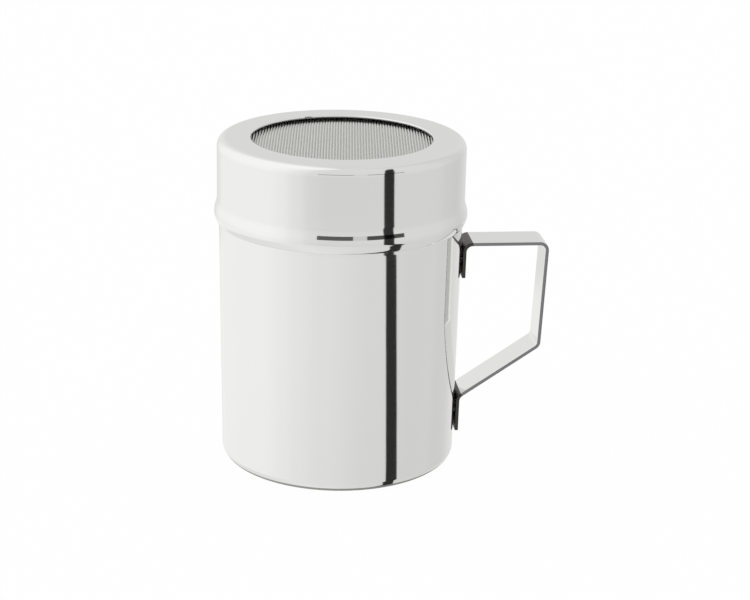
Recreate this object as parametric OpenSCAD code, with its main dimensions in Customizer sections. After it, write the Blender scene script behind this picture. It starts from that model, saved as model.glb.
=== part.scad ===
// Handled shaker for dry seasoning, in thin mirror-polished sheet steel: a drawn
// cup, a slip-on cap with a wide hemmed opening, a round wire screen clamped in a
// folded ring under that opening, and a bent strip handle on two welded feet.
// Frame: origin at the centre of the base's resting face, +Z up, handle along +X.

/* [Cup] */
// Overall height, from the resting face to the top of the cap
total_h = 94; // [80:1:140]
// Thickness of the cup's sheet
cup_wall = 0.5; // [0.4:0.1:0.9]
// How much smaller the cup's radius is at its base than at its mouth
cup_taper = 0.8; // [0:0.1:3]
// Radius of the rounded edge round the base
base_corner_r = 2.6; // [1.5:0.1:6]
// Radius of the wire-like curl round the cup's mouth
curl_r = 0.7; // [0.6:0.05:0.9]

/* [Cap] */
// Outer diameter of the cap's skirt
cap_d = 70; // [60:1:100]
// Height of the cap, from its top to its lower edge
cap_h = 23.7; // [16:0.1:30]
// Thickness of the cap's sheet
cap_wall = 0.4; // [0.3:0.05:0.6]
// Outer radius of the rounded edge between the cap's top and its skirt
cap_corner_r = 2.6; // [2:0.1:4]
// Radial gap between the cap's skirt and the cup
slip_gap = 0.1; // [0.05:0.05:0.3]
// Diameter of the opening in the cap's top
opening_d = 51; // [30:1:54]
// Width of the edge folded back under the opening
hem_w = 2.2; // [1:0.1:3]
// How far the flare near the skirt's lower edge stands out
flare_out = 0.8; // [0.4:0.1:1.2]
// Height of the flare's widest line over the lower edge
flare_up = 2.4; // [1.6:0.1:3]
// Radius of the hollow where the skirt starts to run out
hollow_r = 6.6; // [2:0.2:8]
// Radius of the skirt's crowned run down to the widest line
crown_r = 6; // [4:0.2:14]
// Radius of the turn back in under the widest line
return_r = 4; // [3:0.1:8]

/* [Screen] */
// Thickness of the screen's clamp ring sheet
ring_sheet = 0.3; // [0.2:0.05:0.5]
// Width of the clamp ring's flanges, across the radius
ring_w = 3; // [2:0.1:4]
// Thickness of the wires in the screen
wire_t = 0.5; // [0.3:0.05:0.8]
// Distance from one wire to the next
wire_pitch = 3.6; // [3.6:0.1:6]
// Turn of the wires away from the handle's direction
wire_turn = 40; // [0:5:90]

/* [Handle] */
// Width of the handle's strip
strip_w = 11; // [6:0.5:16]
// Thickness of the handle's strip
strip_t = 1; // [0.8:0.1:2]
// Distance from the cup's axis to the outside of the grip, at its top
grip_reach = 59.5; // [52:0.5:80]
// How far the grip leans in towards the cup, from its top to its lower bend
grip_lean = 1.3; // [0:0.1:6]
// Drop from the cap's lower edge to the upper face of the top arm
arm_drop = 6.3; // [3:0.1:14]
// Height of the grip's lower bend over the base
elbow_z = 32.3; // [26:0.5:36]
// Height of the bend into the lower foot over the base
root_z = 17; // [13:0.5:20]
// Length of the upper foot, from the top arm down
upper_foot = 10.5; // [8:0.5:14]
// Length of the lower foot, from its bend down
lower_foot = 10.4; // [8:0.5:12]
// Inner radius of the bends at the grip's ends
grip_bend_r = 1.6; // [0.5:0.1:5]
// Inner radius of the bends into the feet
root_bend_r = 1.8; // [0.5:0.1:3]

/* [Spot welds] */
// Gap that the welds keep between the cup's wall and the feet
weld_gap = 0.2; // [0.1:0.05:0.4]
// Diameter of each weld
weld_d = 3; // [2:0.5:5]
// Distance between the two welds of one foot
weld_spacing = 4.6; // [4:0.2:6]
// Depth of the mark that welding leaves in the foot's face
weld_mark = 0.15; // [0.05:0.05:0.3]
// How deep each weld runs into the cup's wall
weld_bite = 0.15; // [0.1:0.05:0.3]

/* [Hidden] */
$fn = 96;

cap_r = cap_d / 2;
opening_r = opening_d / 2;
cap_edge_z = total_h - cap_h;
cap_inner_r = cap_r - cap_wall;
corner_in_r = cap_corner_r - cap_wall;

// The flare's hollow and crown meet where the skirt leans out most. The hollow bites
// a hair into the crown and the skirt, so that they cross instead of only touching.
join_bite = 0.002;
flare_x = cap_r + flare_out;
flare_z = cap_edge_z + flare_up;
flare_lean = acos(1 - flare_out / (hollow_r + crown_r));
hollow_z = flare_z + (hollow_r + crown_r) * sin(flare_lean);

// The clamp ring sits on the curl and the cap's rounded corner closes over it.
ring_h = wire_t + 2 * ring_sheet;
ring_play = 0.12;
ring_r = cap_inner_r - 0.4;
corner_cx = cap_r - cap_corner_r;
corner_cz = total_h - cap_corner_r;
seat_dx = ring_r - corner_cx;
seat_rad = corner_in_r - ring_play;
ring_top_z = corner_cz + sqrt(max(seat_rad * seat_rad - seat_dx * seat_dx, 0));
ring_z = ring_top_z - ring_h;
ring_in_r = ring_r - ring_w;
screen_r = ring_r - ring_sheet - 0.05;

cup_top_z = ring_z;
mouth_r = cap_inner_r - slip_gap;
curl_x = mouth_r - curl_r;
curl_z = cup_top_z - curl_r;
taper_top_z = cap_edge_z - 1;
base_r = mouth_r - cup_taper;
taper_slope = cup_taper / (taper_top_z - base_corner_r);

arm_z = cap_edge_z - arm_drop;
half_t = strip_t / 2;
bend_steps = 10;
wall_tilt = atan(taper_slope);

function cup_r_at(z) = min(mouth_r, base_r + (z - base_corner_r) * taper_slope);
function foot_x(z) = cup_r_at(z) + weld_gap + half_t;

// Middle line of the handle's strip, from the upper foot's end to the lower foot's
upper_end_z = arm_z - upper_foot;
lower_end_z = root_z - lower_foot;
strip_pts = [
    [foot_x(upper_end_z), upper_end_z],
    [foot_x(arm_z - half_t), arm_z - half_t],
    [grip_reach - half_t, arm_z - half_t],
    [grip_reach - half_t - grip_lean, elbow_z + half_t * 0.6],
    [foot_x(root_z), root_z],
    [foot_x(lower_end_z), lower_end_z]
];
strip_bends = [0, root_bend_r + half_t, grip_bend_r + half_t, grip_bend_r + half_t, root_bend_r + half_t, 0];

upper_weld_z = (upper_end_z + arm_z - strip_t - root_bend_r) / 2;
lower_weld_z = (lower_end_z + root_z - root_bend_r * 0.6) / 2;
weld_zs = [
    upper_weld_z + weld_spacing / 2,
    upper_weld_z - weld_spacing / 2,
    lower_weld_z + weld_spacing / 2,
    lower_weld_z - weld_spacing / 2
];

function heading(a, b) = atan2(b[1] - a[1], b[0] - a[0]);
function wrap(a) = a > 180 ? a - 360 : (a <= -180 ? a + 360 : a);
function turn_at(p, i) = wrap(heading(p[i], p[i + 1]) - heading(p[i - 1], p[i]));
function trim_at(p, r, i) = (i == 0 || i == len(p) - 1) ? 0 : r[i] * tan(abs(turn_at(p, i)) / 2);
function ahead(a, ang, d) = [a[0] + d * cos(ang), a[1] + d * sin(ang)];

// Points round bend i at a distance off to the left of the strip's middle line
function bend_side(p, r, i, off) =
    let (
        ang = heading(p[i - 1], p[i]),
        turn = turn_at(p, i),
        side = turn > 0 ? 1 : -1,
        start = ahead(p[i], ang, -trim_at(p, r, i)),
        centre = ahead(start, ang + 90 * side, r[i]),
        reach = r[i] - side * off
    )
    [for (k = [0:bend_steps]) ahead(centre, ang - 90 * side + turn * k / bend_steps, reach)];

// One long edge of a bent strip, seen from its side
function strip_side(p, r, off) =
    let (last = len(p) - 1, a0 = heading(p[0], p[1]), a1 = heading(p[last - 1], p[last]))
    concat(
        [ahead(p[0], a0 + 90, off)],
        [for (i = [1:last - 1]) each bend_side(p, r, i, off)],
        [ahead(p[last], a1 + 90, off)]
    );

function reversed(v) = [for (i = [len(v) - 1:-1:0]) v[i]];

// The side view of a strip bent along the points p, with bend radii r and thickness t
module bent_strip(p, r, t) {
    polygon(concat(strip_side(p, r, t / 2), reversed(strip_side(p, r, -t / 2))));
}

// Solid section of the cup at a sheet depth inside its outer face, without its curl
module cup_section(inset) {
    r_c = base_corner_r - inset;
    polygon([
        [0, inset], [base_r - base_corner_r, inset], [base_r - base_corner_r, base_corner_r],
        [base_r - inset, base_corner_r], [mouth_r - inset, taper_top_z],
        [mouth_r - inset, curl_z], [0, curl_z]
    ]);
    intersection() {
        translate([base_r - base_corner_r, base_corner_r]) circle(r_c);
        translate([base_r - base_corner_r, inset]) square([r_c, r_c]);
    }
}

module cup() {
    color("silver") rotate_extrude() {
        difference() {
            cup_section(0);
            cup_section(cup_wall);
        }
        translate([curl_x, curl_z]) circle(curl_r);
    }
}

// Section of the flare: a hollow that runs into a crown, and the turn back in
module flare_section(inset) {
    crown = crown_r - inset;
    difference() {
        union() {
            translate([0, flare_z]) square([flare_x - crown_r + crown * cos(flare_lean), hollow_z - flare_z]);
            intersection() {
                translate([flare_x - crown_r, flare_z]) circle(crown);
                translate([0, flare_z]) square([flare_x, hollow_z - flare_z]);
            }
        }
        translate([cap_r + hollow_r, hollow_z]) circle(hollow_r + inset + join_bite);
    }
    intersection() {
        translate([flare_x - return_r, flare_z]) circle(return_r - inset);
        translate([0, cap_edge_z - inset]) square([flare_x, flare_up + inset]);
    }
}

// Section of the cap's outside, or of its inside where inset is the sheet's thickness
module cap_section(inset) {
    top = total_h - inset;
    r_out = cap_r - inset;
    low = cap_edge_z - inset;
    translate([0, low]) square([r_out, corner_cz - low]);
    translate([0, low]) square([corner_cx, top - low]);
    translate([corner_cx, corner_cz]) circle(cap_corner_r - inset);
    flare_section(inset);
}

module cap() {
    fold_z = total_h - cap_wall;
    color("gainsboro") rotate_extrude() {
        difference() {
            cap_section(0);
            cap_section(cap_wall);
            translate([0, fold_z - 1]) square([opening_r + cap_wall, cap_wall + 2]);
        }
        translate([opening_r + cap_wall, fold_z - cap_wall]) square([hem_w - cap_wall, cap_wall]);
        translate([opening_r + cap_wall, fold_z]) circle(cap_wall);
    }
}

module screen_ring() {
    color("darkgray") rotate_extrude() difference() {
        translate([ring_in_r, ring_z]) square([ring_w, ring_h]);
        translate([ring_in_r - 1, ring_z + ring_sheet]) square([ring_w + 1 - ring_sheet, wire_t]);
    }
}

module wire_screen() {
    rows = ceil(screen_r / wire_pitch);
    color("gray") translate([0, 0, ring_z + ring_sheet]) linear_extrude(wire_t) {
        intersection() {
            circle(screen_r);
            rotate(wire_turn) for (i = [-rows:rows]) {
                translate([i * wire_pitch - wire_t / 2, -screen_r]) square([wire_t, 2 * screen_r]);
                translate([-screen_r, i * wire_pitch - wire_t / 2]) square([2 * screen_r, wire_t]);
            }
        }
        difference() {
            circle(screen_r);
            circle(ring_in_r + 1);
        }
    }
}

// Shallow round dish that a welding electrode leaves in a foot's outer face
module weld_dish(z) {
    half = weld_d / 2;
    dish_r = (half * half + weld_mark * weld_mark) / (2 * weld_mark);
    face_x = foot_x(z) + half_t;
    intersection() {
        translate([face_x + dish_r - weld_mark, 0, z]) sphere(dish_r);
        translate([face_x - 0.5, 0, z]) rotate([0, 90, 0]) cylinder(d = weld_d, h = 0.7);
    }
}

module handle() {
    color("silver") difference() {
        rotate([90, 0, 0]) translate([0, 0, -strip_w / 2]) linear_extrude(strip_w) bent_strip(strip_pts, strip_bends, strip_t);
        for (z = weld_zs) weld_dish(z);
    }
}

// Four round welds between the cup's wall and the feet, each sunk into the wall
module spot_welds() {
    color("dimgray") for (z = weld_zs) {
        translate([foot_x(z) - half_t, 0, z]) rotate([0, wall_tilt - 90, 0]) cylinder(d = weld_d, h = weld_gap + weld_bite);
    }
}

cup();
cap();
screen_ring();
wire_screen();
handle();
spot_welds();
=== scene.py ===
"""Handled seasoning shaker in mirror-polished stainless steel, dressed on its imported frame.

The pieces are metres in the row's frame: the cup rests on z = 0 and its handle points along +X.
"""
import math

import bmesh
import bpy
from mathutils import Matrix, Vector


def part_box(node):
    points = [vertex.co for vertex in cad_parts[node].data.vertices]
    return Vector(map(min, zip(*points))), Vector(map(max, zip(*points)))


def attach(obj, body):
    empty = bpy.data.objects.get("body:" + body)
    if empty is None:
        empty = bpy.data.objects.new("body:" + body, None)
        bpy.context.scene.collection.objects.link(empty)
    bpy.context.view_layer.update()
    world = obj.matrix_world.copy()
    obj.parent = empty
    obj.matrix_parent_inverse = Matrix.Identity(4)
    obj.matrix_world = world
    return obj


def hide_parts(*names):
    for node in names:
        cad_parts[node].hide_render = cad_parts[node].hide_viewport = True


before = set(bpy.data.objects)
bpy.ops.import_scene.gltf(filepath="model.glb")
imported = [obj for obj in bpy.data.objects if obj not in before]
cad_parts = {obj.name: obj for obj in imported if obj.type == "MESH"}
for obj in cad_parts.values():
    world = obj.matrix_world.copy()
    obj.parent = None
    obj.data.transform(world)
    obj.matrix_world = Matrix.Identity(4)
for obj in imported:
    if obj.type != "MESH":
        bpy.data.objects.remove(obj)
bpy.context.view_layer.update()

bl_info = {
    "name": "Seasoning Shaker",
    "version": (1, 0, 0),
    "blender": (4, 5, 0),
    "location": "View3D > Sidebar > Shaker",
    "description": "Builds a handled steel shaker with a slip-on cap and a woven wire screen",
    "category": "Add Mesh",
}

MM = 0.001
AXIS = Vector((0.0, 0.0, 1.0))
# Distance of a holding ring from the end of its straight
HOLD = 0.12 * MM
# Vertices closer than this are the same one
MERGE = 1e-7
# Faces round the cup and the cap, and round the clamp ring
SHELL_STEPS = 256
RING_STEPS = 160
# Shortest wire of the screen, in half pitches each way from its middle
SHORTEST_WIRE = 6
# Steps in each bend of the handle
BEND_STEPS = 9
# The cup's draft ends this far under the cap's lower edge, and its wall runs upright above
DRAFT_STOP = 1.0 * MM
# Edges that meet more sharply than this are shaded as edges
SHARP = math.radians(40.0)


def top_of(node):
    """Height of a frame node's highest point, in metres."""
    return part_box(node)[1][2]


def draft_top(s):
    """Height where the cup's draft ends and its upright mouth begins."""
    return s.total_h - s.cap_h - DRAFT_STOP


# ---------------------------------------------------------------- sizes and colours

def length(name, description, default_mm):
    """A length property, given in millimetres and kept in metres."""
    return bpy.props.FloatProperty(
        name=name, description=description, default=default_mm * MM, min=0.0, precision=5, unit="LENGTH"
    )


def tint(name, description, code):
    """A colour property whose default is an sRGB hex value."""
    return bpy.props.FloatVectorProperty(
        name=name, description=description, default=linear(code), min=0.0, max=1.0, size=3, subtype="COLOR"
    )


def linear(code):
    """The linear red, green and blue of an sRGB hex value."""
    parts = [int(code[i:i + 2], 16) / 255.0 for i in (1, 3, 5)]
    return tuple(c / 12.92 if c <= 0.04045 else ((c + 0.055) / 1.055) ** 2.4 for c in parts)


class ShakerSizes(bpy.types.PropertyGroup):
    """Sizes of the sheet-steel pieces."""

    total_h: bpy.props.FloatProperty(
        name="Height", description="From the resting face to the top of the cap",
        default=top_of("cap"), min=0.0, precision=5, unit="LENGTH",
    )
    cap_r: length("Cap radius", "Outside of the cap's skirt", 35.0)
    cap_h: length("Cap height", "From the cap's top to its lower edge", 23.7)
    cap_wall: length("Cap sheet", "Thickness of the cap's sheet", 0.4)
    cap_corner: length("Cap corner", "Outer radius of the cap's rounded top edge", 2.6)
    opening_r: length("Opening radius", "Radius of the opening in the cap's top", 25.5)
    hem_w: length("Hem", "Width of the edge folded under the opening", 2.2)
    flare_out: length("Flare", "How far the flare near the skirt's lower edge stands out", 0.8)
    flare_up: length("Flare height", "Height of the flare's widest line over the lower edge", 2.4)
    hollow_r: length("Flare hollow", "Radius of the hollow where the skirt starts to run out", 6.28)
    crown_r: length("Flare crown", "Radius of the crowned run down to the widest line", 5.72)
    flare_run: length("Flare run", "Straight run between the flare's hollow and its crown", 0.94)
    return_r: length("Flare return", "Radius of the turn back in under the widest line", 4.0)
    mouth_r: length("Mouth radius", "Outside of the cup at its mouth", 34.5)
    base_r: length("Base radius", "Outside of the cup over its rounded base edge", 33.7)
    cup_wall: length("Cup sheet", "Thickness of the cup's sheet", 0.5)
    base_corner: length("Base corner", "Radius of the rounded edge round the base", 2.6)
    curl_r: length("Curl", "Radius of the curl round the cup's mouth", 0.7)


class ScreenSizes(bpy.types.PropertyGroup):
    """Sizes of the woven screen and its clamp ring."""

    ring_r: length("Ring radius", "Outside of the clamp ring", 34.2)
    ring_w: length("Ring flange", "Width of the clamp ring's flanges", 3.0)
    ring_sheet: length("Ring sheet", "Thickness of the clamp ring's sheet", 0.3)
    cloth_r: length("Cloth radius", "Outside of the woven cloth", 32.0)
    wire_r: length("Wire radius", "Radius of the screen's wires", 0.135)
    pitch: length("Wire pitch", "Distance from one wire to the next", 0.56)
    turn: bpy.props.FloatProperty(
        name="Weave turn", description="Turn of the wires away from the handle's direction",
        default=math.radians(39.4), subtype="ANGLE",
    )


class HandleSizes(bpy.types.PropertyGroup):
    """Sizes of the bent strip handle."""

    strip_w: length("Strip width", "Width of the handle's strip", 11.0)
    strip_t: length("Strip thickness", "Thickness of the handle's strip", 1.0)
    reach: length("Reach", "From the cup's axis to the outside of the grip at its top", 59.5)
    lean: length("Lean", "How far the grip leans in towards the cup", 1.3)
    elbow_z: length("Lower bend", "Height of the grip's lower bend", 32.3)
    root_z: length("Lower root", "Height of the bend into the lower foot", 17.0)
    upper_foot: length("Upper foot", "From the top arm's upper face down to the foot's end", 10.5)
    lower_foot: length("Lower foot", "From the lower root down to the foot's end", 10.4)
    grip_bend: length("Grip bend", "Inner radius of the bends at the grip's ends", 1.6)
    root_bend: length("Root bend", "Inner radius of the bends into the feet", 1.8)
    weld_gap: length("Weld gap", "Gap between the cup and the feet", 0.2)
    weld_r: length("Weld radius", "Radius of each weld mark", 1.5)
    weld_dish: length("Weld dish", "Depth of each weld mark", 0.15)
    weld_step: length("Weld spacing", "Distance between the two welds of one foot", 4.6)


class ShakerColours(bpy.types.PropertyGroup):
    """Colours of the steel's finishes and of the studio."""

    polished: tint("Polished steel", "Mirror-polished sheet", "#EDEDEB")
    inside: tint("Drawn steel", "Unpolished inside of the sheet", "#A8A8A4")
    edge: tint("Sheared edge", "Cut edges of the strip", "#8A8A8C")
    wire: tint("Wire", "Drawn wire of the screen", "#CCCCC8")
    # Painted shade: this dark colour stands partly for the welds' heat tint and partly for the crevice shadow
    # between the feet and the cup
    heat_tint_and_shade: tint("Heat tint and painted shade", "Feet and roots darkened beside the welds", "#4A4843")
    weld: tint("Weld mark", "Dull straw tint of a weld mark", "#9C968C")
    floor: tint("Floor", "Studio floor", "#F4F4F4")


# ---------------------------------------------------------------- materials

def add_node(tree, kind, links=None, **settings):
    """Adds one node, sets its attributes or sockets, and links its inputs."""
    node = tree.nodes.new(kind)
    for key, value in settings.items():
        if hasattr(node, key):
            setattr(node, key, value)
        else:
            node.inputs[key.replace("_", " ")].default_value = value
    for socket, source in (links or {}).items():
        tree.links.new(source, node.inputs[socket])
    return node


def new_tree(name):
    """A material with an empty node tree and its output."""
    mat = bpy.data.materials.new(name)
    mat.use_nodes = True
    mat.node_tree.nodes.clear()
    return mat, mat.node_tree


def stops(node, pairs, mode="LINEAR"):
    """Sets a colour ramp's stops from (position, grey) pairs."""
    ramp = node.color_ramp
    ramp.interpolation = mode
    while len(ramp.elements) < len(pairs):
        ramp.elements.new(0.5)
    for element, (place, grey) in zip(ramp.elements, pairs):
        element.position = place
        element.color = (grey, grey, grey, 1.0)


def scaled(tree, value, factor):
    """A varying value times a constant."""
    node = add_node(tree, "ShaderNodeMath", {0: value}, operation="MULTIPLY")
    node.inputs[1].default_value = factor
    return node.outputs[0]


def steel_finish(name, colour, low, high, grain, bump_mm, wave_mm=0.0):
    """Stainless steel whose roughness runs from low to high along its working marks.

    grain is the marks' size along X, Y and Z in millimetres, and bump_mm their height.
    """
    mat, tree = new_tree(name)
    place = add_node(tree, "ShaderNodeTexCoord").outputs["Object"]
    stretched = add_node(
        tree, "ShaderNodeMapping", {"Vector": place}, Scale=tuple(1.0 / (g * MM) for g in grain)
    ).outputs["Vector"]
    marks = add_node(tree, "ShaderNodeTexNoise", {"Vector": stretched}, Scale=1.0, Detail=3.0, Roughness=0.6)
    rough = add_node(
        tree, "ShaderNodeMapRange", {"Value": marks.outputs["Fac"]}, To_Min=low, To_Max=high
    ).outputs["Result"]
    normal = add_node(
        tree, "ShaderNodeBump", {"Height": marks.outputs["Fac"]}, Strength=1.0, Distance=bump_mm * MM
    ).outputs["Normal"]
    if wave_mm:
        # Slow unevenness of thin sheet, about 14 mm from crest to crest
        waves = add_node(tree, "ShaderNodeTexNoise", {"Vector": place}, Scale=70.0, Detail=1.0)
        normal = add_node(
            tree, "ShaderNodeBump", {"Height": waves.outputs["Fac"], "Normal": normal},
            Strength=1.0, Distance=wave_mm * MM,
        ).outputs["Normal"]
    shader = add_node(
        tree, "ShaderNodeBsdfPrincipled", {"Roughness": rough, "Normal": normal},
        Base_Color=(*colour, 1.0), Metallic=1.0,
    )
    add_node(tree, "ShaderNodeOutputMaterial", {"Surface": shader.outputs["BSDF"]})
    return mat


def polished_stainless(colours):
    """Mirror-polished 304 stainless sheet: sharp reflections over a faint orange peel."""
    return steel_finish(
        "mirror_polished_stainless", colours.polished, 0.03, 0.07, (9.0, 9.0, 0.5), 0.0006, wave_mm=0.006
    )


def drawn_stainless(colours):
    """Deep-drawn 304 stainless left as drawn: broad, soft reflections with upright draw marks."""
    return steel_finish("deep_drawn_stainless", colours.inside, 0.48, 0.62, (0.7, 0.7, 18.0), 0.003)


def sheared_stainless(colours):
    """Sheared edge of stainless strip: torn, dull and darker than the rolled faces."""
    return steel_finish("sheared_stainless_edge", colours.edge, 0.28, 0.4, (2.0, 2.0, 2.0), 0.002)


def wire_stainless(colours):
    """Drawn stainless wire: satin along its length."""
    return steel_finish("drawn_stainless_wire", colours.wire, 0.25, 0.4, (1.5, 1.5, 1.5), 0.002)


def heat_tint_and_painted_shade_stainless(colours):
    """Stainless beside a weld: darkened partly by the weld's heat tint and partly by painted shade that stands for
    the crevice's shadow.
    """
    return steel_finish("heat_tinted_and_painted_shade_stainless", colours.heat_tint_and_shade, 0.25, 0.4, (2.0, 2.0, 2.0), 0.002)


def weld_stainless(colours):
    """Spot-welded stainless: a dull dish with a straw heat tint."""
    return steel_finish("spot_welded_stainless", colours.weld, 0.3, 0.5, (0.6, 0.6, 0.6), 0.006)


# ---------------------------------------------------------------- profile and mesh tools

def straight(bm, vert, x, z):
    """Draws a profile on from vert to (x, z) and returns its new end."""
    end = bmesh.ops.extrude_vert_indiv(bm, verts=[vert])["verts"][0]
    end.co = (x, 0.0, z)
    return end


def panel(bm, vert, x, z):
    """A straight with a holding ring near both ends, so that the round edges don't tilt its shading."""
    start, end = vert.co.copy(), Vector((x, 0.0, z))
    hold = (end - start).normalized() * HOLD
    for spot in (start + hold, end - hold):
        vert = straight(bm, vert, spot.x, spot.z)
    return straight(bm, vert, x, z)


def arc(bm, vert, cx, cz, degrees, steps):
    """Draws a profile on from vert, round (cx, cz), anticlockwise for positive degrees."""
    turned = bmesh.ops.spin(
        bm, geom=[vert], cent=(cx, 0.0, cz), axis=(0.0, 1.0, 0.0),
        angle=-math.radians(degrees), steps=steps, use_duplicate=False,
    )
    return turned["geom_last"][0]


def revolve(bm, steps):
    """Spins the drawn profile into a closed shell round the axis, with its faces outwards."""
    bmesh.ops.spin(
        bm, geom=bm.verts[:] + bm.edges[:], cent=(0.0, 0.0, 0.0), axis=AXIS,
        angle=math.tau, steps=steps, use_merge=True, use_duplicate=False,
    )
    bmesh.ops.remove_doubles(bm, verts=bm.verts[:], dist=MERGE)
    bmesh.ops.recalc_face_normals(bm, faces=bm.faces[:])


def finish_piece(bm, name, materials, node, body):
    """Turns a bmesh into a smooth-shaded piece that stands for a frame node and rides on its body."""
    if not bm.faces:
        raise RuntimeError(f"{name} has no faces")
    mesh = bpy.data.meshes.new(name)
    for face in bm.faces:
        face.smooth = True
    bm.to_mesh(mesh)
    bm.free()
    for mat in materials:
        mesh.materials.append(mat)
    piece = bpy.data.objects.new(name, mesh)
    bpy.context.scene.collection.objects.link(piece)
    mesh.set_sharp_from_angle(angle=SHARP)
    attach(piece, body)
    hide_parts(node)


# ---------------------------------------------------------------- pieces

class SHAKER_OT_cup(bpy.types.Operator):
    """Spins the drawn cup with its rounded base edge and curled mouth"""

    bl_idname = "shaker.cup"
    bl_label = "Cup"

    def execute(self, context):
        s = context.scene.shaker_sizes
        colours = context.scene.shaker_colours
        top = top_of("cup")
        taper_top = draft_top(s)
        corner_x = s.base_r - s.base_corner
        curl_x, curl_z = s.mouth_r - s.curl_r, top - s.curl_r
        bm = bmesh.new()
        v = bm.verts.new((0.0, 0.0, 0.0))
        v = panel(bm, v, corner_x, 0.0)
        v = arc(bm, v, corner_x, s.base_corner, 90.0, 10)
        v = panel(bm, v, s.mouth_r, taper_top)
        v = panel(bm, v, s.mouth_r, curl_z)
        v = arc(bm, v, curl_x, curl_z, 230.0, 14)
        v = straight(bm, v, s.mouth_r - s.cup_wall, curl_z - 1.2 * s.curl_r)
        v = panel(bm, v, s.mouth_r - s.cup_wall, taper_top)
        v = panel(bm, v, s.base_r - s.cup_wall, s.base_corner)
        v = arc(bm, v, corner_x, s.base_corner, -90.0, 8)
        panel(bm, v, 0.0, s.cup_wall)
        revolve(bm, SHELL_STEPS)
        middle = s.cup_wall / 2
        for face in bm.faces:
            c = face.calc_center_median()
            wall = s.base_r + (s.mouth_r - s.base_r) * min(1.0, max(0.0, c.z / taper_top))
            within = math.hypot(c.x, c.y) < wall - middle
            # The sheet's inside is left as drawn, up to the polished curl
            if within and middle < c.z < curl_z - s.curl_r:
                face.material_index = 1
        finish_piece(
            bm, "cup_shell", [polished_stainless(colours), drawn_stainless(colours)],
            "cup", "cup_and_handle",
        )
        return {"FINISHED"}


class SHAKER_OT_cap(bpy.types.Operator):
    """Spins the cap's sheet: hemmed opening, rounded top edge, skirt and flared lower edge"""

    bl_idname = "shaker.cap"
    bl_label = "Cap"

    def execute(self, context):
        s = context.scene.shaker_sizes
        colours = context.scene.shaker_colours
        w, top = s.cap_wall, s.total_h
        cx, cz = s.cap_r - s.cap_corner, top - s.cap_corner
        nose_x, fold_z = s.opening_r + w, top - w
        hem_x = nose_x + s.hem_w * 0.7
        flare_z = top - s.cap_h + s.flare_up
        # The straight run touches the hollow and the crown, which gives its lean from upright
        both = s.hollow_r + s.crown_r
        tilt = math.acos((both - s.flare_out) / math.hypot(both, s.flare_run)) - math.atan2(s.flare_run, both)
        lean = math.degrees(tilt)
        fall = math.degrees(math.asin(s.flare_up / s.return_r))
        hollow_z = flare_z + both * math.sin(tilt) + s.flare_run * math.cos(tilt)
        hollow = (s.cap_r + s.hollow_r, hollow_z)
        run = (s.flare_run * math.sin(tilt), s.flare_run * math.cos(tilt))
        crown = (s.cap_r + s.flare_out - s.crown_r, flare_z)
        back = (s.cap_r + s.flare_out - s.return_r, flare_z)
        lip_r = s.return_r - w / 2
        lip = (back[0] + lip_r * math.cos(math.radians(fall)), flare_z - lip_r * math.sin(math.radians(fall)))
        bm = bmesh.new()
        start = bm.verts.new((hem_x, 0.0, fold_z - w))
        v = straight(bm, start, nose_x, fold_z - w)
        v = arc(bm, v, nose_x, fold_z, -180.0, 12)
        v = panel(bm, v, cx, top)
        v = arc(bm, v, cx, cz, -90.0, 14)
        v = panel(bm, v, s.cap_r, hollow[1])
        v = arc(bm, v, *hollow, lean, 8)
        v = panel(bm, v, v.co.x + run[0], v.co.z - run[1])
        v = arc(bm, v, *crown, -lean, 10)
        v = arc(bm, v, *back, -fall, 12)
        v = arc(bm, v, *lip, -180.0, 6)
        v = arc(bm, v, *back, fall, 12)
        v = arc(bm, v, *crown, lean, 10)
        v = panel(bm, v, v.co.x - run[0], v.co.z + run[1])
        v = arc(bm, v, *hollow, -lean, 8)
        v = panel(bm, v, s.cap_r - w, cz)
        v = arc(bm, v, cx, cz, 90.0, 10)
        v = straight(bm, v, hem_x, fold_z)
        bm.edges.new((v, start))
        revolve(bm, SHELL_STEPS)
        finish_piece(bm, "cap_shell", [polished_stainless(colours)], "cap", "cap")
        return {"FINISHED"}


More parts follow.
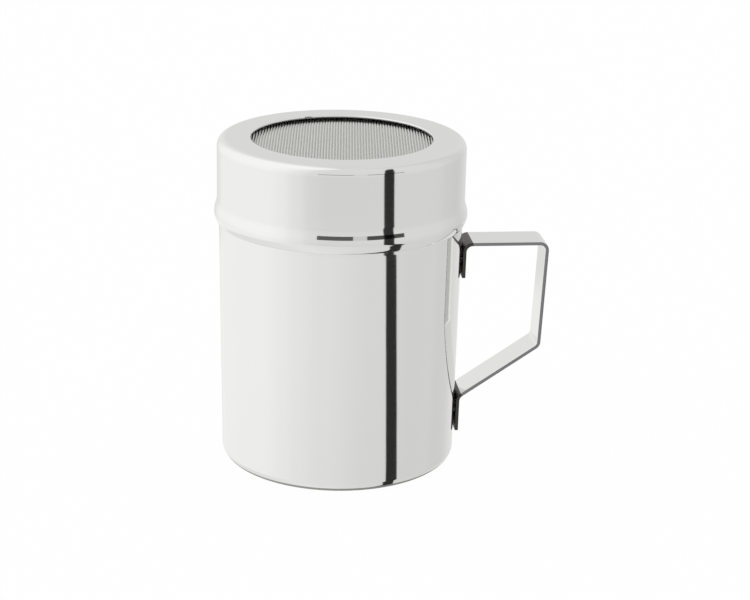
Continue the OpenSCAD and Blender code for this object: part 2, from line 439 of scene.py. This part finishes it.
class SHAKER_OT_screen(bpy.types.Operator):
    """Folds the clamp ring and weaves the wire screen that it holds"""

    bl_idname = "shaker.screen"
    bl_label = "Screen"

    def execute(self, context):
        q = context.scene.screen_sizes
        colours = context.scene.shaker_colours
        low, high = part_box("screen_ring")[0][2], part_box("screen_ring")[1][2]
        self.clamp_ring(q, colours, low, high)
        wire = wire_stainless(colours)
        for name, turn, phase in (("warp_wires", q.turn, 0), ("weft_wires", q.turn + math.pi / 2, 1)):
            self.weave(q, wire, name, turn, phase, (low + high) / 2)
        return {"FINISHED"}

    def clamp_ring(self, q, colours, low, high):
        """A sheet folded to a channel, open towards the axis."""
        t = q.ring_sheet
        inner = q.ring_r - q.ring_w
        fold = 2.0 * t
        bm = bmesh.new()
        start = bm.verts.new((inner, 0.0, low))
        v = straight(bm, start, q.ring_r - fold, low)
        v = arc(bm, v, q.ring_r - fold, low + fold, 90.0, 6)
        v = straight(bm, v, q.ring_r, high - fold * 0.5)
        v = arc(bm, v, q.ring_r - fold * 0.5, high - fold * 0.5, 90.0, 6)
        v = straight(bm, v, inner, high)
        v = straight(bm, v, inner, high - t)
        back = q.ring_r - 1.2 * t
        v = straight(bm, v, back, high - t)
        v = straight(bm, v, back, low + t)
        v = straight(bm, v, inner, low + t)
        bm.edges.new((v, start))
        revolve(bm, RING_STEPS)
        finish_piece(
            bm, "clamp_ring", [drawn_stainless(colours)], "screen_ring", "screen_insert"
        )

    def weave(self, q, wire, name, turn, phase, mid_z):
        """One set of wires, each going over and under the other set's.

        phase is 0 or 1, and says whether the middle wire starts over or under.
        """
        reach = q.cloth_r
        rows = int(reach / q.pitch)
        step = q.pitch / 2.0
        bm = bmesh.new()
        for i in range(-rows, rows + 1):
            y = i * q.pitch
            count = int(math.sqrt(max(reach * reach - y * y, 0.0)) / step)
            if count < SHORTEST_WIRE:
                continue
            sign = 1.0 if (i + phase) % 2 else -1.0
            one = bmesh.new()
            bmesh.ops.create_cone(
                one, cap_ends=True, segments=4, radius1=q.wire_r, radius2=q.wire_r, depth=2 * count * step,
                matrix=Matrix.Translation((0.0, y, 0.0)) @ Matrix.Rotation(math.pi / 2, 4, "Y"),
            )
            sides = [e for e in one.edges if abs(e.verts[0].co.x - e.verts[1].co.x) > step]
            bmesh.ops.subdivide_edges(one, edges=sides, cuts=2 * count - 1)
            for v in one.verts:
                v.co.z += sign * q.wire_r * 0.95 * math.cos(math.pi * v.co.x / q.pitch)
            part = bpy.data.meshes.new("wire_part")
            one.to_mesh(part)
            one.free()
            bm.from_mesh(part)
            bpy.data.meshes.remove(part)
        bmesh.ops.rotate(bm, verts=bm.verts[:], cent=(0.0, 0.0, 0.0), matrix=Matrix.Rotation(turn, 3, "Z"))
        bmesh.ops.translate(bm, verts=bm.verts[:], vec=(0.0, 0.0, mid_z))
        bmesh.ops.recalc_face_normals(bm, faces=bm.faces[:])
        finish_piece(bm, name, [wire], "wire_screen", "screen_insert")


class SHAKER_OT_handle(bpy.types.Operator):
    """Bends the strip handle, with the dished marks of its spot welds"""

    bl_idname = "shaker.handle"
    bl_label = "Handle"

    def execute(self, context):
        s = context.scene.shaker_sizes
        h = context.scene.handle_sizes
        colours = context.scene.shaker_colours
        weld = weld_stainless(colours)
        half = h.strip_t / 2
        taper_top = draft_top(s)
        slope = (s.mouth_r - s.base_r) / (taper_top - s.base_corner)
        arm_z = top_of("handle")

        def foot_x(z):
            return min(s.mouth_r, s.base_r + (z - s.base_corner) * slope) + h.weld_gap + half

        upper_end, lower_end = arm_z - h.upper_foot, h.root_z - h.lower_foot
        points = [
            (foot_x(upper_end), upper_end),
            (foot_x(arm_z - half), arm_z - half),
            (h.reach - half, arm_z - half),
            (h.reach - half - h.lean, h.elbow_z + half * 0.6),
            (foot_x(h.root_z), h.root_z),
            (foot_x(lower_end), lower_end),
        ]
        bends = [0.0, h.root_bend + half, h.grip_bend + half, h.grip_bend + half, h.root_bend + half, 0.0]
        rows = [22, 2, 2, 2, 22]
        bm = bmesh.new()
        section = bmesh.ops.create_grid(bm, x_segments=1, y_segments=24, size=0.5)["verts"]
        bmesh.ops.scale(bm, verts=section, vec=(h.strip_t, h.strip_w, 1.0))
        bmesh.ops.translate(bm, verts=section, vec=(points[0][0], 0.0, points[0][1]))
        faces = bm.faces[:]
        for i in range(len(points) - 1):
            heading = self.heading(points[i], points[i + 1])
            run = math.dist(points[i], points[i + 1]) - self.trim(points, bends, i) - self.trim(points, bends, i + 1)
            ahead = Vector((math.cos(heading), 0.0, math.sin(heading)))
            steps = [HOLD] + [(run - 2 * HOLD) / rows[i]] * rows[i] + [HOLD]
            for k, step in enumerate(steps):
                faces, moved = self.push(bm, faces, keep=i == 0 and k == 0)
                bmesh.ops.translate(bm, verts=moved, vec=ahead * step)
            if i + 1 < len(points) - 1:
                turn = self.turn(points, i + 1)
                side = 1.0 if turn > 0 else -1.0
                at = Vector((points[i + 1][0], 0.0, points[i + 1][1])) - ahead * self.trim(points, bends, i + 1)
                across = heading + side * math.pi / 2
                centre = at + Vector((math.cos(across), 0.0, math.sin(across))) * bends[i + 1]
                step = Matrix.Rotation(-turn / BEND_STEPS, 3, "Y")
                for _ in range(BEND_STEPS):
                    faces, moved = self.push(bm, faces)
                    bmesh.ops.rotate(bm, verts=moved, cent=centre, matrix=step)
        bmesh.ops.remove_doubles(bm, verts=bm.verts[:], dist=MERGE)
        bmesh.ops.recalc_face_normals(bm, faces=bm.faces[:])
        tint_and_shade_reach = s.mouth_r + h.weld_gap + h.strip_t + h.root_bend
        for face in bm.faces:
            sheared = abs(face.normal.y) > 0.8 or (face.normal.z < -0.9 and face.calc_area() < 1e-6)
            face.material_index = 1 if sheared else 0
            # Painted shade: the feet and roots where they face the wall, and their cut edges, are darkened for the
            # crevice's shadow, and partly for the weld's heat tint
            if face.calc_center_median().x < tint_and_shade_reach and (sheared or face.normal.x < -0.05):
                face.material_index = 3
        rims = [e for e in bm.edges if len(e.link_faces) == 2 and e.calc_face_angle() > 1.0]
        bmesh.ops.bevel(
            bm, geom=rims, offset=h.strip_t * 0.14, offset_type="OFFSET", segments=2, profile=0.5,
            affect="EDGES", material=-1,
        )
        upper = (upper_end + arm_z - h.strip_t - h.root_bend) / 2
        lower = (lower_end + h.root_z - h.root_bend * 0.6) / 2
        for middle in (upper, lower):
            for z in (middle + h.weld_step / 2, middle - h.weld_step / 2):
                self.dish(bm, foot_x(z) + half, z, h.weld_r, h.weld_dish)
        finish_piece(
            bm, "strip_handle",
            [polished_stainless(colours), sheared_stainless(colours), weld, heat_tint_and_painted_shade_stainless(colours)],
            "handle", "cup_and_handle",
        )
        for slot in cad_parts["spot_welds"].material_slots:
            slot.material = weld
        return {"FINISHED"}

    @staticmethod
    def push(bm, faces, keep=False):
        """Extrudes the strip's end by one step, and returns its new faces and vertices."""
        out = bmesh.ops.extrude_face_region(bm, geom=faces)["geom"]
        if not keep:
            bmesh.ops.delete(bm, geom=faces, context="FACES")
        moved = [g for g in out if isinstance(g, bmesh.types.BMVert)]
        return [g for g in out if isinstance(g, bmesh.types.BMFace)], moved

    @staticmethod
    def dish(bm, face_x, z, radius, depth):
        """Presses one electrode mark into a foot's outer face."""
        for v in bm.verts:
            away = math.hypot(v.co.y, v.co.z - z)
            if away < radius and abs(v.co.x - face_x) < depth:
                v.co.x -= depth * (1.0 - (away / radius) ** 2)
        for face in bm.faces:
            c = face.calc_center_median()
            if math.hypot(c.y, c.z - z) < radius * 0.95 and abs(c.x - face_x) < 2.0 * depth and face.normal.x > 0.5:
                face.material_index = 2

    @staticmethod
    def heading(a, b):
        """Direction from a to b in the XZ plane, in radians."""
        return math.atan2(b[1] - a[1], b[0] - a[0])

    def turn(self, points, i):
        """Turn of the path at a point, positive to the left."""
        change = self.heading(points[i], points[i + 1]) - self.heading(points[i - 1], points[i])
        return (change + math.pi) % math.tau - math.pi

    def trim(self, points, bends, i):
        """How much a bend takes off the straights on both its sides."""
        if i in (0, len(points) - 1):
            return 0.0
        return bends[i] * math.tan(abs(self.turn(points, i)) / 2)


# ---------------------------------------------------------------- studio

# The camera, found from the edges of the cap, its opening and the cup's base
HANDLE_DEGREES = 5.6
HANDLE_TURN = math.radians(HANDLE_DEGREES)
CAMERA_BACK = 0.5367
CAMERA_OVER = 0.13307
PHOTO_W = 750.0
LENS_PX = 1969.0
YAW, PITCH, ROLL = 0.019, 0.3256, 0.0214
CAMERA_AZIMUTH = -90.0 - HANDLE_DEGREES
# The floor's radius, and the share of plain white that the camera sees in it
FLOOR_R = 4.0
FLOOR_WHITE = 0.98
# Brightness of the tent's lower and upper walls by their angle round from the camera,
# positive to its right
TENT_LOW = [
    (-180.0, 0.82), (-150.0, 0.97), (-125.0, 1.0), (-78.0, 1.0), (-55.0, 0.95), (-42.0, 0.91), (-18.0, 0.86),
    (33.0, 0.785), (75.0, 0.74), (97.0, 0.745), (112.0, 0.715), (125.0, 0.72), (150.0, 0.8), (180.0, 0.82),
]
TENT_HIGH = [
    (-180.0, 0.72), (-165.0, 0.8), (-137.0, 0.98), (-110.0, 1.0), (-70.0, 1.0), (-56.0, 0.96), (-41.0, 0.87),
    (-26.0, 0.777), (-12.0, 0.745), (72.0, 0.755), (97.0, 0.75), (116.0, 0.705), (132.0, 0.68), (158.0, 0.75),
    (180.0, 0.72),
]
# Factor on that brightness by the height of the direction, from straight down to straight up
TENT_RISE = [(-1.0, 1.0), (-0.6, 1.0), (-0.43, 0.98), (-0.37, 1.0), (-0.25, 1.0), (0.0, 1.05), (1.0, 1.08)]
# The roof's edge: its height behind and before the object, half its width and its soft rim,
# and its brightness by the angle where it is open to the dark room
ROOF_EDGE = (-0.2404, 0.2948)
ROOF_HALF = 0.028
ROOF_SOFT = 0.012
TENT_GAPS = [(-180.0, 1.0), (-21.5, 0.14), (10.0, 0.85), (23.0, 0.1), (59.0, 1.0)]
# Brightness of the table round the object, by the angle
TENT_DOWN = [
    (-180.0, 0.8), (-120.0, 0.85), (-70.0, 0.87), (-40.0, 0.9), (-15.0, 0.86), (33.0, 0.79), (75.0, 0.75),
    (112.0, 0.73), (150.0, 0.8), (180.0, 0.8),
]
# Heights over which the table gives way to the lower walls, and those to the upper walls
TABLE_EDGE = (-0.52, -0.45)
WALL_SPLIT = (-0.30, -0.285)
# The slit between two panels: height of the direction, angle and half width in degrees
SLIT = [
    (-0.92, 98.0, 25.0), (-0.858, 78.0, 11.0), (-0.787, 67.0, 7.8), (-0.692, 60.0, 7.0), (-0.575, 55.5, 6.6),
    (-0.5, 54.0, 6.6), (-0.422, 55.9, 6.2), (-0.351, 50.7, 5.7), (-0.318, 48.6, 5.4), (-0.29, 45.2, 5.0),
    (-0.262, 44.0, 5.0), (-0.1, 43.2, 4.9), (0.092, 43.3, 4.9), (0.374, 45.0, 5.0), (0.642, 50.6, 5.4),
    (0.748, 55.9, 5.6), (0.831, 64.2, 5.8), (0.888, 77.4, 5.5),
]
SLIT_DARK = 0.04
SLIT_SOFT = math.radians(0.5)
SLIT_END = (0.8, 0.93)


class SHAKER_OT_studio(bpy.types.Operator):
    """Lays the pale floor, lights the white tent and places the camera"""

    bl_idname = "shaker.studio"
    bl_label = "Studio"

    def execute(self, context):
        scene = context.scene
        scene.view_settings.view_transform = "Standard"
        self.floor(scene, scene.shaker_colours)
        self.tent(scene)
        self.camera(scene)
        return {"FINISHED"}

    def floor(self, scene, colours):
        """A wide pale floor that shows white to the camera and keeps a faint contact shadow."""
        bm = bmesh.new()
        bmesh.ops.create_circle(bm, cap_ends=True, segments=64, radius=FLOOR_R)
        mesh = bpy.data.meshes.new("studio_floor")
        bm.to_mesh(mesh)
        bm.free()
        mat, tree = new_tree("white_acrylic_floor")
        path = add_node(tree, "ShaderNodeLightPath")
        matt = add_node(tree, "ShaderNodeBsdfDiffuse", Color=(*colours.floor, 1.0))
        glow = add_node(tree, "ShaderNodeEmission", Color=(1.0, 1.0, 1.0, 1.0), Strength=1.0)
        seen = scaled(tree, path.outputs["Is Camera Ray"], FLOOR_WHITE)
        shown = add_node(tree, "ShaderNodeMixShader", {0: seen, 1: matt.outputs[0], 2: glow.outputs[0]})
        clear = add_node(tree, "ShaderNodeBsdfTransparent")
        out = add_node(
            tree, "ShaderNodeMixShader", {0: path.outputs["Is Glossy Ray"], 1: shown.outputs[0], 2: clear.outputs[0]}
        )
        add_node(tree, "ShaderNodeOutputMaterial", {"Surface": out.outputs[0]})
        mesh.materials.append(mat)
        floor = bpy.data.objects.new("studio_floor", mesh)
        scene.collection.objects.link(floor)

    def tent(self, scene):
        """World light of a white tent, dimmer on one side, with the dark slit between two of its panels."""
        world = bpy.data.worlds.new("white_tent")
        scene.world = world
        world.use_nodes = True
        tree = world.node_tree
        tree.nodes.clear()
        way = add_node(tree, "ShaderNodeTexCoord").outputs["Generated"]
        turned = add_node(tree, "ShaderNodeMapping", {"Vector": way}, vector_type="POINT")
        turned.inputs["Rotation"].default_value = (0.0, 0.0, -math.radians(CAMERA_AZIMUTH))
        part = add_node(tree, "ShaderNodeSeparateXYZ", {"Vector": turned.outputs["Vector"]})
        angle = add_node(
            tree, "ShaderNodeMath", {0: part.outputs["Y"], 1: part.outputs["X"]}, operation="ARCTAN2"
        ).outputs[0]
        around = add_node(
            tree, "ShaderNodeMapRange", {"Value": angle}, From_Min=-math.pi, From_Max=math.pi
        ).outputs["Result"]
        up = part.outputs["Z"]
        low = self.round_ramp(tree, around, TENT_LOW, "EASE")
        high = self.round_ramp(tree, around, TENT_HIGH, "EASE")
        down = self.round_ramp(tree, around, TENT_DOWN, "EASE")
        walls = self.blend(tree, self.between(tree, up, *TABLE_EDGE), down, low)
        walls = self.blend(tree, self.between(tree, up, *WALL_SPLIT), walls, high)
        rise = self.between(tree, up, -1.0, 1.0)
        shade = self.height_ramp(tree, rise, TENT_RISE)
        # The slit leans and widens, so that the polished wall shows it upright and even
        slit_at, slit_half = (
            scaled(tree, self.height_ramp(tree, rise, [(row[0], row[i] / 180.0) for row in SLIT]), math.pi)
            for i in (1, 2)
        )
        off = add_node(tree, "ShaderNodeMath", {0: angle, 1: slit_at}, operation="SUBTRACT").outputs[0]
        off = add_node(tree, "ShaderNodeMath", {0: off}, operation="ABSOLUTE").outputs[0]
        off = add_node(tree, "ShaderNodeMath", {0: off, 1: slit_half}, operation="SUBTRACT").outputs[0]
        slit = self.between(tree, off, -SLIT_SOFT, SLIT_SOFT, SLIT_DARK, 1.0)
        slit_end = self.between(tree, up, *SLIT_END)
        slit = add_node(tree, "ShaderNodeMath", {0: slit, 1: slit_end}, operation="MAXIMUM").outputs[0]
        # The roof's edge runs straight over the tent, so its height follows the cosine of the angle
        bow = add_node(tree, "ShaderNodeMath", {0: scaled(tree, angle, 0.5)}, operation="COSINE").outputs[0]
        edge = self.between(tree, bow, 0.0, 1.0, *ROOF_EDGE)
        off = add_node(tree, "ShaderNodeMath", {0: up, 1: edge}, operation="SUBTRACT").outputs[0]
        off = add_node(tree, "ShaderNodeMath", {0: off}, operation="ABSOLUTE").outputs[0]
        beyond = self.between(tree, off, ROOF_HALF, ROOF_HALF + ROOF_SOFT)
        gaps = self.round_ramp(tree, around, TENT_GAPS, "CONSTANT")
        gaps = add_node(tree, "ShaderNodeMath", {0: gaps, 1: beyond}, operation="MAXIMUM").outputs[0]
        level = walls
        for factor in (shade, slit, gaps):
            level = add_node(tree, "ShaderNodeMath", {0: level, 1: factor}, operation="MULTIPLY").outputs[0]
        lamp = add_node(tree, "ShaderNodeBackground", {"Strength": level}, Color=(1.0, 1.0, 1.0, 1.0))
        white = add_node(tree, "ShaderNodeBackground", Color=(1.0, 1.0, 1.0, 1.0), Strength=1.0)
        path = add_node(tree, "ShaderNodeLightPath")
        mix = add_node(
            tree, "ShaderNodeMixShader",
            {0: path.outputs["Is Camera Ray"], 1: lamp.outputs[0], 2: white.outputs[0]},
        )
        add_node(tree, "ShaderNodeOutputWorld", {"Surface": mix.outputs[0]})

    @staticmethod
    def round_ramp(tree, around, pairs, mode):
        """Brightness by angle round the tent, from (degrees, grey) pairs."""
        ramp = add_node(tree, "ShaderNodeValToRGB", {"Fac": around})
        stops(ramp, [((a + 180.0) / 360.0, g) for a, g in pairs], mode)
        return ramp.outputs["Color"]

    @staticmethod
    def blend(tree, factor, first, second):
        """A value that goes from the first to the second as the factor goes from 0 to 1."""
        return add_node(tree, "ShaderNodeMix", {0: factor, 2: first, 3: second}, data_type="FLOAT").outputs[0]

    @staticmethod
    def height_ramp(tree, rise, pairs):
        """A value by the height of the direction, from (height, value) pairs."""
        ramp = add_node(tree, "ShaderNodeValToRGB", {"Fac": rise})
        stops(ramp, [((z + 1.0) / 2.0, value) for z, value in pairs])
        return ramp.outputs["Color"]

    @staticmethod
    def between(tree, value, start, end, low=0.0, high=1.0):
        """A value that runs from low at start to high at end."""
        return add_node(
            tree, "ShaderNodeMapRange", {"Value": value}, From_Min=start, From_Max=end, To_Min=low, To_Max=high
        ).outputs["Result"]

    def camera(self, scene):
        """The photograph's view: a long lens, a little above the cap, with a slight roll."""
        data = bpy.data.cameras.new("photo_camera")
        data.sensor_width = 36.0
        data.lens = LENS_PX / PHOTO_W * data.sensor_width
        data.clip_start = 0.01
        data.clip_end = 50.0
        camera = bpy.data.objects.new("photo_camera", data)
        scene.collection.objects.link(camera)
        turn = Matrix.Rotation(-HANDLE_TURN, 3, "Z")
        forward = Vector((
            math.sin(YAW) * math.cos(PITCH), math.cos(YAW) * math.cos(PITCH), -math.sin(PITCH)
        ))
        right = Vector((math.cos(YAW), -math.sin(YAW), 0.0))
        up = right.cross(forward)
        right, up = right * math.cos(ROLL) + up * math.sin(ROLL), up * math.cos(ROLL) - right * math.sin(ROLL)
        axes = Matrix((turn @ right, turn @ up, turn @ -forward)).transposed()
        spot = turn @ Vector((0.0, -CAMERA_BACK, top_of("cap") + CAMERA_OVER))
        camera.matrix_world = Matrix.Translation(spot) @ axes.to_4x4()
        scene.camera = camera


class SHAKER_PT_build(bpy.types.Panel):
    """Sidebar panel with the shaker's sizes, colours and build steps"""

    bl_idname = "SHAKER_PT_build"
    bl_label = "Seasoning Shaker"
    bl_space_type = "VIEW_3D"
    bl_region_type = "UI"
    bl_category = "Shaker"

    def draw(self, context):
        for step in STEPS:
            self.layout.operator(step.bl_idname)
        for group in (context.scene.shaker_sizes, context.scene.screen_sizes, context.scene.handle_sizes,
                      context.scene.shaker_colours):
            box = self.layout.box()
            for key in group.__annotations__:
                box.prop(group, key)


GROUPS = {
    "shaker_sizes": ShakerSizes, "screen_sizes": ScreenSizes,
    "handle_sizes": HandleSizes, "shaker_colours": ShakerColours,
}
STEPS = (SHAKER_OT_cup, SHAKER_OT_cap, SHAKER_OT_screen, SHAKER_OT_handle, SHAKER_OT_studio)


def register():
    for group in GROUPS.values():
        bpy.utils.register_class(group)
    for name, group in GROUPS.items():
        setattr(bpy.types.Scene, name, bpy.props.PointerProperty(type=group))
    for step in STEPS:
        bpy.utils.register_class(step)
    bpy.utils.register_class(SHAKER_PT_build)


def unregister():
    bpy.utils.unregister_class(SHAKER_PT_build)
    for step in reversed(STEPS):
        bpy.utils.unregister_class(step)
    for name, group in GROUPS.items():
        delattr(bpy.types.Scene, name)
        bpy.utils.unregister_class(group)


def main():
    register()
    bpy.ops.shaker.cup()
    bpy.ops.shaker.cap()
    bpy.ops.shaker.screen()
    bpy.ops.shaker.handle()
    bpy.ops.shaker.studio()


if __name__ == "__main__":
    main()
